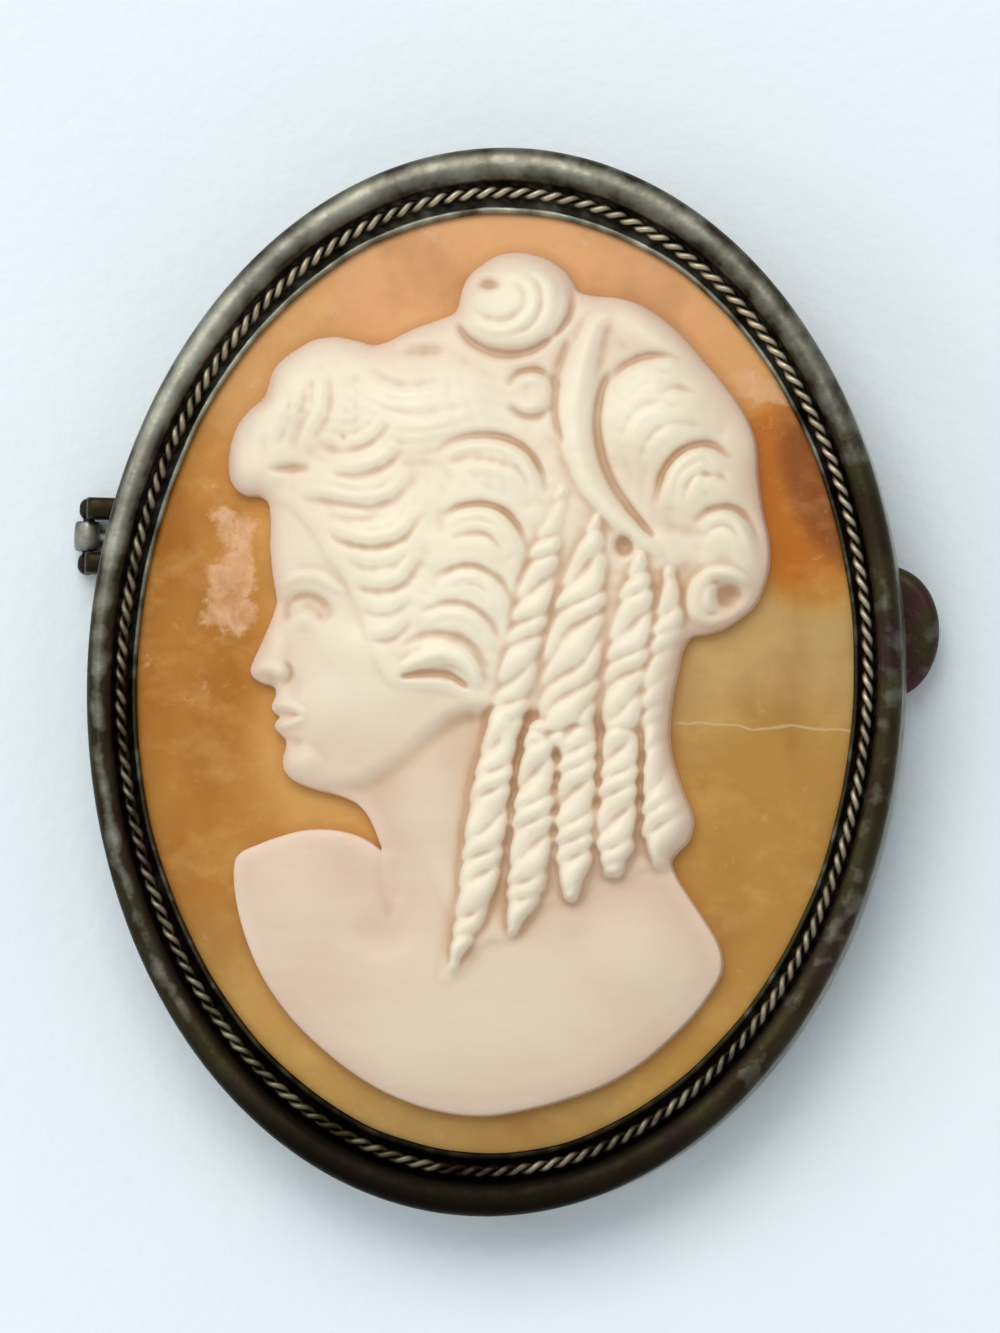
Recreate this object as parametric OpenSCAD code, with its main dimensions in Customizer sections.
// Oval cameo brooch. Millimetres, +Z up, front face up, head of the figure towards +Y.
// Radial sizes of the oval are measured across its width. The long way is the same shape
// stretched, as it is on the real frame, whose rim is wider at the top than at the sides.

/* [Oval frame] */
// Width of the oval frame across its round rim
frame_w = 34.2; // [32:0.2:38]
// Length of the oval frame along its round rim
frame_l = 44.6; // [42:0.2:50]
// Depth of the frame from its back edge to the top of the round rim
frame_h = 4.0; // [3.9:0.1:4.6]
// Thickness of the side wall
wall_t = 0.6; // [0.5:0.05:0.8]
// Radius of the round rim along the front edge
rim_r = 0.55; // [0.5:0.01:0.58]
// Angle at which the brooch leans as it lies on its pin fittings and lower edge
lean = 4.4; // [4:0.1:5]

/* [Twisted wire] */
// Thickness of the twisted wire in the channel
rope_d = 0.56; // [0.46:0.02:0.58]
// Number of twist marks around the oval
rope_marks = 164; // [140:2:170]

/* [Shell] */
// Thickness of the shell at its edge
shell_edge_t = 1.2; // [1:0.05:1.2]
// Rise of the domed front from the edge to the middle
dome_rise = 2.0; // [1.6:0.1:2.2]
// Rise of the hollowed back from the seat to the middle
hollow_rise = 1.5; // [1:0.1:1.6]
// Height of the carved outline where it meets the ground
carve_edge_h = 0.55; // [0.4:0.05:0.7]
// Height of the carving above the ground before its own forms are added
carve_h = 0.95; // [0.8:0.05:1.1]

/* [Pin and catch] */
// Thickness of the pin
pin_d = 0.7; // [0.6:0.05:0.8]
// Diameter of the pin's eye, the middle knuckle of its hinge
eye_d = 1.2; // [1.1:0.05:1.3]
// Distance of the hinge from the middle, out to its own centre line
hinge_x = 17.9; // [17.7:0.1:18]
// Height of the hinge's middle above the oval's middle
hinge_y = 5.8; // [4:0.1:7]
// Height of the catch's middle above the oval's middle
catch_y = 2.7; // [1:0.1:4]
// Reach of the catch from the middle out past the rim
catch_reach = 18.2; // [18:0.1:18.4]

/* [Hidden] */
round_fn = 48;
gap = 0.05;
overlap = 0.15;

// Oval frame, from the back edge up
stretch = frame_l / frame_w;
rim_c = frame_w / 2 - rim_r;
rim_z = frame_h - rim_r;
wall_out = rim_c + 0.4;
wall_in = wall_out - wall_t;
ledge_in = wall_in - 1.05;
seat_z = 1.45;
ledge_t = 0.5;
floor_z = 3.1;
lip_r = 0.12;
lip_in = rim_c - 1.45;
lip_top = floor_z + 0.2;
edge_z = seat_z + gap + shell_edge_t;

// Twisted wire, lying on the channel's floor against the round rim
rope_r = rope_d / 2;
rope_valley = 0.72;
rope_slant = 0.22;
rope_sides = 7;
rope_c = rim_c - rim_r - gap - rope_r;
rope_z = floor_z + gap + rope_r;

// Shell plate and the part of it that the lip leaves open
shell_a = wall_in - 0.3;
shell_b = shell_a * stretch;
hollow = 0.94;
plate_end = 0.996;
fit_x = frame_w / 34.2;
fit_y = frame_l / 44.6;

// How the brooch lies: its lower edge, the pin's eye and the catch all touch the surface
back_b = wall_out * stretch;
lift = back_b * sin(lean);
eye_r = eye_d / 2;
eye_w = 1.25;
lug_r = 0.42;
lug_w = 0.95;
leaf_l = 2.4;
rod_r = 0.25;
hinge_z = eye_r - (lift + (hinge_y - eye_w / 2) * sin(lean)) / cos(lean);
hook_r = 0.8;
hook_t = 0.3;
hook_w = 2.2;
catch_z = (hook_r - lift - catch_y * sin(lean)) / cos(lean);
plate_r = 3.6;
plate_t = 0.9;
plate_w = 5.7;
mid_x = (catch_reach - hinge_x - eye_r) / 2;
low_y = -stretch * rim_c * cos(lean) - rim_z * sin(lean)
    - norm([stretch * rim_r * cos(lean), rim_r * sin(lean)]);
mid_y = (back_b * cos(lean) + low_y) / 2;

// Carved outline, [height, x] from the base of the bust up: its left side, with the face in
// plain thirds from the hair to the chin, and its right side
LEFT = [
    [-18.2, -0.6], [-18.0, -1.9], [-17.6, -3.1], [-16.8, -4.8], [-15.6, -6.5], [-14.2, -8.05],
    [-12.6, -9.25], [-10.7, -10.05], [-9.1, -10.45], [-8.05, -10.55], [-7.5, -10.3],
    [-7.1, -9.6], [-6.75, -8.4], [-6.5, -6.6], [-6.3, -4.6], [-5.8, -4.75], [-5.3, -5.2],
    [-4.95, -6.0], [-4.75, -7.0], [-4.5, -7.9], [-4.1, -8.45], [-3.6, -8.6], [-3.1, -8.5],
    [-2.75, -8.45], [-2.45, -8.8], [-2.1, -8.95], [-1.85, -8.75], [-1.6, -9.05],
    [-1.25, -9.1], [-0.85, -8.95], [-0.5, -9.1], [-0.2, -9.75], [0.15, -10.1], [0.5, -10.0],
    [1.6, -9.55], [2.8, -9.1], [3.6, -9.15], [5.0, -9.45], [6.6, -9.5], [7.3, -9.6],
    [7.5, -10.4], [7.8, -11.0], [8.4, -11.35], [9.3, -11.4], [10.1, -11.15], [11.0, -10.6],
    [11.6, -10.0], [12.6, -9.75], [13.2, -9.2], [13.7, -8.3], [13.95, -7.0], [14.1, -5.0],
    [14.5, -3.7], [14.95, -2.7], [15.3, -2.0], [15.9, -1.95], [16.6, -1.75], [17.2, -1.2],
    [17.6, -0.6], [17.95, 0.3]];
RIGHT = [
    [-18.2, 0.4], [-17.9, 1.5], [-17.4, 3.4], [-16.7, 5.2], [-15.6, 6.85], [-13.9, 8.65],
    [-12.6, 9.5], [-11.7, 9.95], [-10.7, 9.8], [-9.7, 9.1], [-8.2, 8.05], [-7.5, 7.75],
    [-7.1, 7.8], [-6.7, 8.15], [-6.2, 8.5], [-5.5, 8.6], [-4.7, 8.25], [-3.7, 7.8],
    [-2.2, 7.5], [-0.5, 7.6], [1.0, 7.85], [1.9, 8.1], [2.3, 8.9], [2.6, 9.8], [3.1, 10.5],
    [3.7, 10.95], [4.4, 11.2], [5.2, 11.4], [6.2, 11.3], [7.5, 11.0], [9.0, 10.75],
    [10.3, 10.6], [11.5, 10.0], [12.5, 9.3], [13.2, 8.6], [14.0, 7.9], [14.7, 7.1],
    [15.5, 6.2], [15.9, 5.2], [16.15, 3.9], [16.4, 3.0], [16.9, 2.6], [17.4, 1.9],
    [17.95, 0.6]];

// Broad forms of the carving: [x, y, half width, half height, turn, height]
FORMS = [
    [-2.0, 6.0, 10.5, 10.5, 0, 0.55],     // side of the head
    [-5.6, -0.4, 3.6, 3.8, -10, 0.45],    // cheek
    [-7.2, -3.5, 1.9, 1.3, -15, 0.25],    // chin
    [-3.0, -3.0, 4.2, 1.5, 16, 0.2],      // jaw
    [-7.3, 2.5, 1.7, 1.1, 0, -0.4],       // eye socket
    [-7.5, 2.4, 0.85, 0.5, -8, 0.35],     // eyeball under its lids
    [-7.9, 3.6, 1.5, 0.5, -12, 0.2],      // brow
    [-8.9, 1.2, 0.7, 2.2, 12, 0.2],       // bridge of the nose
    [-8.5, 0.0, 0.6, 0.5, 0, 0.25],       // wing of the nose
    [-8.3, -1.4, 0.75, 0.3, 10, 0.2],     // upper lip
    [-8.2, -2.1, 0.75, 0.3, -10, 0.2],    // lower lip
    [-2.6, -6.8, 3.4, 4.2, 0, -0.45],     // hollow of the neck
    [-1.0, -13.0, 10.5, 6.0, 0, 0.6],     // breast
    [-7.4, -10.0, 3.2, 3.4, 0, 0.35],     // far shoulder
    [7.2, -11.2, 3.2, 3.0, -30, 0.4],     // near shoulder
    [-9.6, 9.6, 2.0, 2.6, 20, 0.5],       // front roll of hair
    [-7.4, 11.8, 2.6, 2.4, 0, 0.35],      // upper front wave
    [0.4, 15.7, 2.5, 2.3, 0, 0.75],       // rosette of hair
    [-1.0, 16.3, 0.6, 0.35, 0, -0.3],     // eye of the rosette
    [1.3, 12.0, 1.0, 0.9, 0, 0.3],        // small curl under the rosette
    [7.0, 11.0, 3.4, 3.4, 30, 0.5],       // upper back roll
    [9.0, 7.6, 2.5, 2.4, 0, 0.4],         // lower back roll
    [9.0, 3.6, 0.6, 0.9, 0, 0.3],         // heart of the back curl
    [9.9, 3.8, 0.7, 0.6, 0, -0.35]];      // hollow of the back curl

// Locks of hair: arcs through three points, [from, over, to, half width, height], where a
// height below zero is a cut between two locks
LOCKS = [
    [[-2.6, 9.5], [-0.6, 10.2], [1.9, 8.7], 0.3, -0.4],
    [[-2.4, 8.8], [-0.5, 9.5], [1.4, 8.1], 0.55, 0.3],
    [[-2.1, 7.0], [-0.4, 7.25], [1.4, 6.0], 0.3, -0.4],
    [[-2.0, 6.4], [-0.4, 6.6], [0.9, 5.5], 0.5, 0.3],
    [[-2.5, 4.6], [-0.6, 4.7], [1.0, 3.5], 0.3, -0.35],
    [[-2.3, 4.0], [-0.6, 4.1], [0.7, 3.0], 0.5, 0.3],
    [[-3.5, 2.1], [-1.6, 2.7], [0.4, 1.8], 0.3, -0.35],
    [[-3.6, 0.6], [-1.6, 1.2], [0.3, 0.1], 0.5, 0.45],
    [[-3.6, 0.0], [-1.8, 0.3], [-0.3, -0.7], 0.3, -0.35],
    [[-4.8, 13.5], [-3.6, 13.65], [-2.4, 13.3], 0.3, -0.3],
    [[-7.6, 12.8], [-7.8, 11.6], [-8.5, 10.3], 0.35, -0.35],
    [[-9.7, 8.4], [-8.8, 8.65], [-7.8, 8.6], 0.3, -0.4],
    [[-7.2, 9.0], [-5.9, 9.4], [-4.6, 10.4], 0.3, -0.3],
    [[-6.4, 8.3], [-5.1, 8.8], [-3.9, 10.0], 0.3, -0.25],
    [[-7.2, 6.7], [-6.2, 6.95], [-5.0, 7.8], 0.3, -0.3],
    [[-6.4, 5.6], [-5.3, 5.9], [-4.1, 6.8], 0.3, -0.3],
    [[-5.4, 4.2], [-4.4, 4.5], [-3.2, 5.4], 0.3, -0.3],
    [[-4.8, 2.6], [-3.9, 3.0], [-2.9, 3.9], 0.3, -0.3],
    [[-6.6, 13.1], [-6.4, 11.6], [-7.1, 10.0], 0.6, 0.25],
    [[4.4, 12.2], [5.4, 13.55], [7.4, 13.7], 0.3, -0.45],
    [[6.9, 7.6], [7.7, 9.7], [9.8, 9.5], 0.3, -0.5],
    [[8.4, 6.9], [9.8, 7.2], [10.8, 5.6], 0.3, -0.45],
    [[8.2, 6.0], [9.5, 6.4], [10.3, 5.2], 0.4, 0.25],
    [[3.7, 15.6], [3.2, 12.4], [4.0, 9.2], 0.8, 0.45],
    [[4.0, 9.4], [5.1, 7.3], [6.9, 5.6], 0.45, 0.4],
    [[4.4, 12.6], [4.2, 10.6], [4.8, 8.8], 0.3, -0.45],
    [[4.8, 8.8], [5.4, 7.7], [6.6, 6.3], 0.25, -0.35],
    [[2.8, 14.6], [2.4, 12.6], [2.8, 10.4], 0.3, -0.35],
    [[0.5, 12.7], [1.4, 13.1], [2.4, 12.5], 0.25, -0.35],
    [[0.3, 11.6], [1.1, 11.0], [2.1, 11.6], 0.25, -0.35],
    [[-1.6, 14.4], [0.2, 13.5], [2.3, 14.1], 0.3, -0.45],
    [[2.5, 14.2], [3.1, 15.2], [2.8, 16.4], 0.3, -0.4],
    [[8.35, 3.8], [9.2, 4.75], [10.5, 4.2], 0.3, -0.45],
    [[8.35, 3.6], [9.1, 2.6], [10.4, 3.0], 0.3, -0.4]];

// Twisted ropes of hair: [x top, y top, x bottom, y bottom, bow, half width, height]
ROPES = [
    [2.4, 5.6, 0.7, -3.0, -0.2, 0.75, 0.75],
    [4.5, 6.6, 3.3, -1.8, -0.1, 1.2, 0.85],
    [6.2, 5.4, 5.5, -1.8, -0.15, 0.85, 0.85],
    [7.4, 4.6, 6.9, -1.8, 0.1, 0.75, 0.65],
    [0.8, -2.4, -0.9, -11.8, 0.4, 0.8, 0.95],
    [2.3, -2.2, 1.3, -10.2, 0.3, 0.8, 0.9],
    [3.8, -2.2, 3.6, -8.8, 0.1, 0.82, 0.9],
    [5.5, -2.2, 5.5, -7.8, 0.1, 0.85, 0.9],
    [7.0, -2.2, 7.6, -7.2, 0.0, 0.95, 0.85]];
hair_pitch = 1.25;
hair_slant = 0.42;

// Rows of the carving: [from, to, step], closer where the ropes and locks are
ROW_STEPS = [
    [-20, -18.3, 0.85], [-18.15, -11.6, 0.72], [-11.2, 6.2, 0.42], [6.6, 17.9, 0.47],
    [18.05, 20.3, 0.75]];
relief_cols = 44;
side_cols = 2;
back_cols = 5;
wall_run = 0.12;
EDGE_REACH = [-1.6, -1.1, -0.7, -0.4, -0.2, 0, 0.2, 0.4, 0.7, 1.1, 1.6];
edge_round = 1.5;

function total(v) = v * [for (e = v) 1];

// Points of an arc, from angle a to angle b, in n steps
function arc(cx, cy, r, a, b, n) =
    [for (i = [0:n]) let (t = a + (b - a) * i / n) [cx + r * cos(t), cy + r * sin(t)]];

// Half width of the shell plate at height y, and its domed front and hollowed back
function plate_x(y) = shell_a * sqrt(max(0, 1 - pow(y / shell_b, 2)));
function off_middle(x, y) = pow(x / shell_a, 2) + pow(y / shell_b, 2);
function front_z(x, y) = edge_z + dome_rise * (1 - off_middle(x, y));
function back_z(x, y) =
    seat_z + gap + hollow_rise * max(0, 1 - off_middle(x, y) / pow(hollow, 2));

// Left and right edge of the carving at height y; past its ends they part the plain ground
function is_carved(y) = y > LEFT[0][0] * fit_y && y < LEFT[len(LEFT) - 1][0] * fit_y;
function carve_left(y) = is_carved(y) ? fit_x * lookup(y / fit_y, LEFT) : -0.5 * plate_x(y);
function carve_right(y) = is_carved(y) ? fit_x * lookup(y / fit_y, RIGHT) : 0.5 * plate_x(y);

// How far a point of the carving lies in from its outline, feeling up and down in steps
function inside_at(x, y) =
    y < LEFT[0][0] || y > LEFT[len(LEFT) - 1][0] ? 0
    : max(0, min(x - lookup(y, LEFT), lookup(y, RIGHT) - x));
function edge_in(x, y) = min([for (s = EDGE_REACH) norm([s, inside_at(x, y + s)])]);

// A broad form: a rounded swelling, or a hollow, over a turned oval
function form_h(f, x, y) =
    let (
        u = ((x - f[0]) * cos(f[4]) + (y - f[1]) * sin(f[4])) / f[2],
        v = ((y - f[1]) * cos(f[4]) - (x - f[0]) * sin(f[4])) / f[3],
        q = max(0, 1 - u * u - v * v)
    ) f[5] * q * q;

// A lock: a ridge along a circle's arc that fades towards both ends. The circle's middle is
// where the three points' midlines cross.
function circle_mid(p, q, r) =
    let (
        a = q - p, b = r - p,
        d = 2 * (a[0] * b[1] - a[1] * b[0]),
        aa = a * a, bb = b * b
    ) p + [b[1] * aa - a[1] * bb, a[0] * bb - b[0] * aa] / d;
function turn_of(v) = atan2(v[1], v[0]);
function short_turn(a) = a - 360 * round(a / 360);
ARCS = [for (l = LOCKS)
    let (c = circle_mid(l[0], l[1], l[2]), mid = turn_of(l[1] - c))
    [c, norm(l[1] - c), mid, short_turn(turn_of(l[0] - c) - mid),
        short_turn(turn_of(l[2] - c) - mid), l[3], l[4]]];
function lock_h(l, x, y) =
    let (
        v = [x, y] - l[0],
        across = (norm(v) - l[1]) / l[5]
    ) abs(across) >= 1 ? 0
    : let (
        t = short_turn(turn_of(v) - l[2]),
        along = t * sign(l[3]) > 0 ? t / l[3] : t / l[4]
    ) along >= 1 ? 0 : l[6] * pow(1 - across * across, 1.5) * (1 - pow(along, 3));

// A rope: a round strand with slanting twist marks and a tapered lower end
function rope_h(r, x, y) =
    let (t = (r[1] - y) / (r[1] - r[3]))
    t <= 0 || t >= 1 ? 0
    : let (
        mid = r[0] + (r[2] - r[0]) * t + 4 * r[4] * t * (1 - t),
        half = r[5] * min(1, 2.6 * sqrt(1 - t)) * min(1, 0.6 + 3 * t),
        u = (x - mid) / half
    ) abs(u) >= 1 ? 0
    : r[6] * sqrt(1 - u * u) * (0.84 + 0.16 * cos(360 * (y / hair_pitch - hair_slant * u)));

// Height of the carving above the ground at one point
function carving_h(x, y) =
    let (
        px = x / fit_x, py = y / fit_y,
        near = min(1, edge_in(px, py) / edge_round),
        swell = sqrt(1 - pow(1 - near, 2)),
        forms = total([for (f = FORMS) form_h(f, px, py)]),
        locks = total([for (l = ARCS) lock_h(l, px, py)]),
        ropes = max([for (r = ROPES) rope_h(r, px, py)])
    ) carve_edge_h + swell * (carve_h - carve_edge_h + max(forms + locks, ropes));

// One row of the shell as a closed loop: plain ground, the wall of the carving, its top, the
// far wall, plain ground, and back along the hollow
function spread(a, b, n) = [for (i = [1:n]) a + (b - a) * i / (n + 1)];
function row_loop(y) =
    let (
        w = plate_x(y), l = carve_left(y), r = carve_right(y),
        carved = is_carved(y),
        tops = spread(l + wall_run / 2, r - wall_run / 2, relief_cols)
    ) concat(
        [for (x = concat([-w], spread(-w, l, side_cols), [l])) [x, y, front_z(x, y)]],
        [for (x = concat([l + wall_run], tops, [r - wall_run]))
            [x, y, front_z(x, y) + (carved ? carving_h(x, y) : 0)]],
        [for (x = concat([r], spread(r, w, side_cols), [w])) [x, y, front_z(x, y)]],
        [for (x = concat([w], spread(w, -w, back_cols), [-w])) [x, y, back_z(x, y)]]);
ROWS = concat(
    [-shell_b * plate_end],
    [for (s = ROW_STEPS) each [for (y = [s[0]:s[2]:s[1]]) y * fit_y]],
    [shell_b * plate_end]);

// Skin between loops of n points each, from one loop to the next or round into the first
function skin(rows, n, ring) = [for (j = [0:rows - (ring ? 1 : 2)]) for (i = [0:n - 1])
    let (k = (i + 1) % n, m = (j + 1) % rows)
    each [[j * n + i, m * n + i, m * n + k], [j * n + i, m * n + k, j * n + k]]];

// Cap of a loop of n points: triangles that meet in one point just beyond it
function cap(first, n, tip, low) = [for (i = [0:n - 1])
    let (a = first + i, b = first + (i + 1) % n) low ? [a, b, tip] : [b, a, tip]];

// Lengths walked along the twisted wire's oval, so that its marks come out evenly spaced
WALK_STEP = 3;
function rope_at(t) = [rope_c * cos(t), rope_c * stretch * sin(t)];
function walked(t) = t <= 0 ? 0
    : walked(t - WALK_STEP) + norm(rope_at(t) - rope_at(t - WALK_STEP));
WALK = [for (t = [0:WALK_STEP:360]) [walked(t), t]];
rope_len = WALK[len(WALK) - 1][0];
function rope_turn(s) = lookup(s < 0 ? s + rope_len : s >= rope_len ? s - rope_len : s, WALK);

// One section of the twisted wire: full at a strand's crest, lean in the valley, and slanted
// because its outer points lie further along than its inner ones
function rope_section(j) = [for (i = [0:rope_sides - 1])
    let (
        s = j * rope_len / (2 * rope_marks),
        a = -360 * i / rope_sides,
        r = rope_r * (j % 2 == 0 ? 1 : rope_valley),
        t = rope_turn(s + rope_slant * cos(a)),
        out = [cos(t) * stretch, sin(t)] / norm([cos(t) * stretch, sin(t)])
    ) concat(rope_at(t) + out * r * cos(a), [rope_z + r * sin(a)])];

// Lays the brooch down as it rests, with the middle of its footprint at the origin
module lie_down() {
    translate([-mid_x, -mid_y, lift]) rotate([lean, 0, 0]) children();
}

// Shape of the frame's wall, rim, channel, lip and shell seat, seen in section
module frame_section() {
    polygon(concat(
        [[wall_out, 0]],
        arc(rim_c, rim_z, rim_r, -acos(0.4 / rim_r), 180 + asin((rim_z - floor_z) / rim_r), 24),
        [[lip_in + 2 * lip_r, floor_z]],
        arc(lip_in + lip_r, lip_top - lip_r, lip_r, 0, 180, 8),
        [[lip_in, floor_z - 0.12], [wall_in, edge_z + gap], [wall_in, seat_z],
            [ledge_in, seat_z], [ledge_in, seat_z - ledge_t], [wall_in, seat_z - ledge_t],
            [wall_in, 0]]));
}

// One of the two hinge knuckles, soldered to the frame by its leaf
module hinge_lug(y0) {
    translate([-hinge_x, y0, hinge_z]) rotate([-90, 0, 0])
        cylinder(r = lug_r, h = lug_w, $fn = round_fn);
    translate([-hinge_x, y0, hinge_z]) cube([leaf_l, lug_w, overlap - hinge_z]);
}

// Hooked catch: a rounded plate that shows past the rim, and the hook under it
module catch() {
    plate_z = overlap - plate_t;
    intersection() {
        translate([catch_reach - plate_r, catch_y, plate_z]) rotate_extrude($fn = 96)
            polygon(concat([[0, 0]],
                arc(plate_r - plate_t / 2, plate_t / 2, plate_t / 2, -90, 90, 12),
                [[0, plate_t]]));
        translate([catch_reach - 2.9, catch_y - plate_w / 2, plate_z])
            cube([3, plate_w, plate_t]);
    }
    translate([catch_reach - 0.5, catch_y, catch_z]) rotate([0, -90, 0])
        rotate([0, 0, 80]) rotate_extrude(angle = 290, $fn = round_fn)
            translate([hook_r - hook_t, 0]) square([hook_t, hook_w]);
}

// Oval frame with the hinge knuckles and the catch soldered to its back
module bezel_frame() {
    color("dimgray") lie_down() {
        scale([1, stretch, 1]) rotate_extrude($fn = 180) frame_section();
        hinge_lug(hinge_y + eye_w / 2 + gap);
        hinge_lug(hinge_y - eye_w / 2 - gap - lug_w);
        translate([-hinge_x, hinge_y, hinge_z]) rotate([90, 0, 0])
            cylinder(r = rod_r, h = eye_w + 4 * gap, center = true, $fn = round_fn);
        catch();
    }
}

// Twisted wire laid in the channel between the round rim and the lip
module rope_wire() {
    color("tan") lie_down() polyhedron(
        points = [for (j = [0:2 * rope_marks - 1]) each rope_section(j)],
        faces = skin(2 * rope_marks, rope_sides, true));
}

// Shell plate with the bust carved out of its upper layer, one piece
module shell_cameo() {
    loops = [for (y = ROWS) row_loop(y)];
    n = len(loops[0]);
    count = len(loops) * n;
    tips = [for (side = [-1, 1]) [0, side * shell_b, edge_z - shell_edge_t / 2]];
    color("bisque") lie_down() polyhedron(
        points = [for (l = concat(loops, [tips])) each l],
        faces = concat(
            skin(len(loops), n, false),
            cap(0, n, count, true),
            cap(count - n, n, count + 1, false)));
}

// Pin behind the brooch: an eye that turns on the hinge's rod, a stem and a point in the catch
module brooch_pin() {
    start = [-hinge_x + eye_r * 0.6, hinge_y, hinge_z];
    end = [catch_reach - 0.9, catch_y, catch_z];
    way = end - start;
    point_l = 4;
    stem_l = norm(way) - point_l;
    color("darkgray") lie_down() difference() {
        union() {
            translate([-hinge_x, hinge_y, hinge_z]) rotate([90, 0, 0])
                cylinder(r = eye_r, h = eye_w, center = true, $fn = round_fn);
            translate(start)
                rotate([0, acos(way[2] / norm(way)), atan2(way[1], way[0])]) {
                    cylinder(d = pin_d, h = stem_l, $fn = round_fn);
                    translate([0, 0, stem_l])
                        cylinder(d1 = pin_d, d2 = 0.15, h = point_l, $fn = round_fn);
                }
        }
        translate([-hinge_x, hinge_y, hinge_z]) rotate([90, 0, 0])
            cylinder(r = rod_r + gap, h = eye_w + 1, center = true, $fn = round_fn);
    }
}

bezel_frame();
rope_wire();
shell_cameo();
brooch_pin();
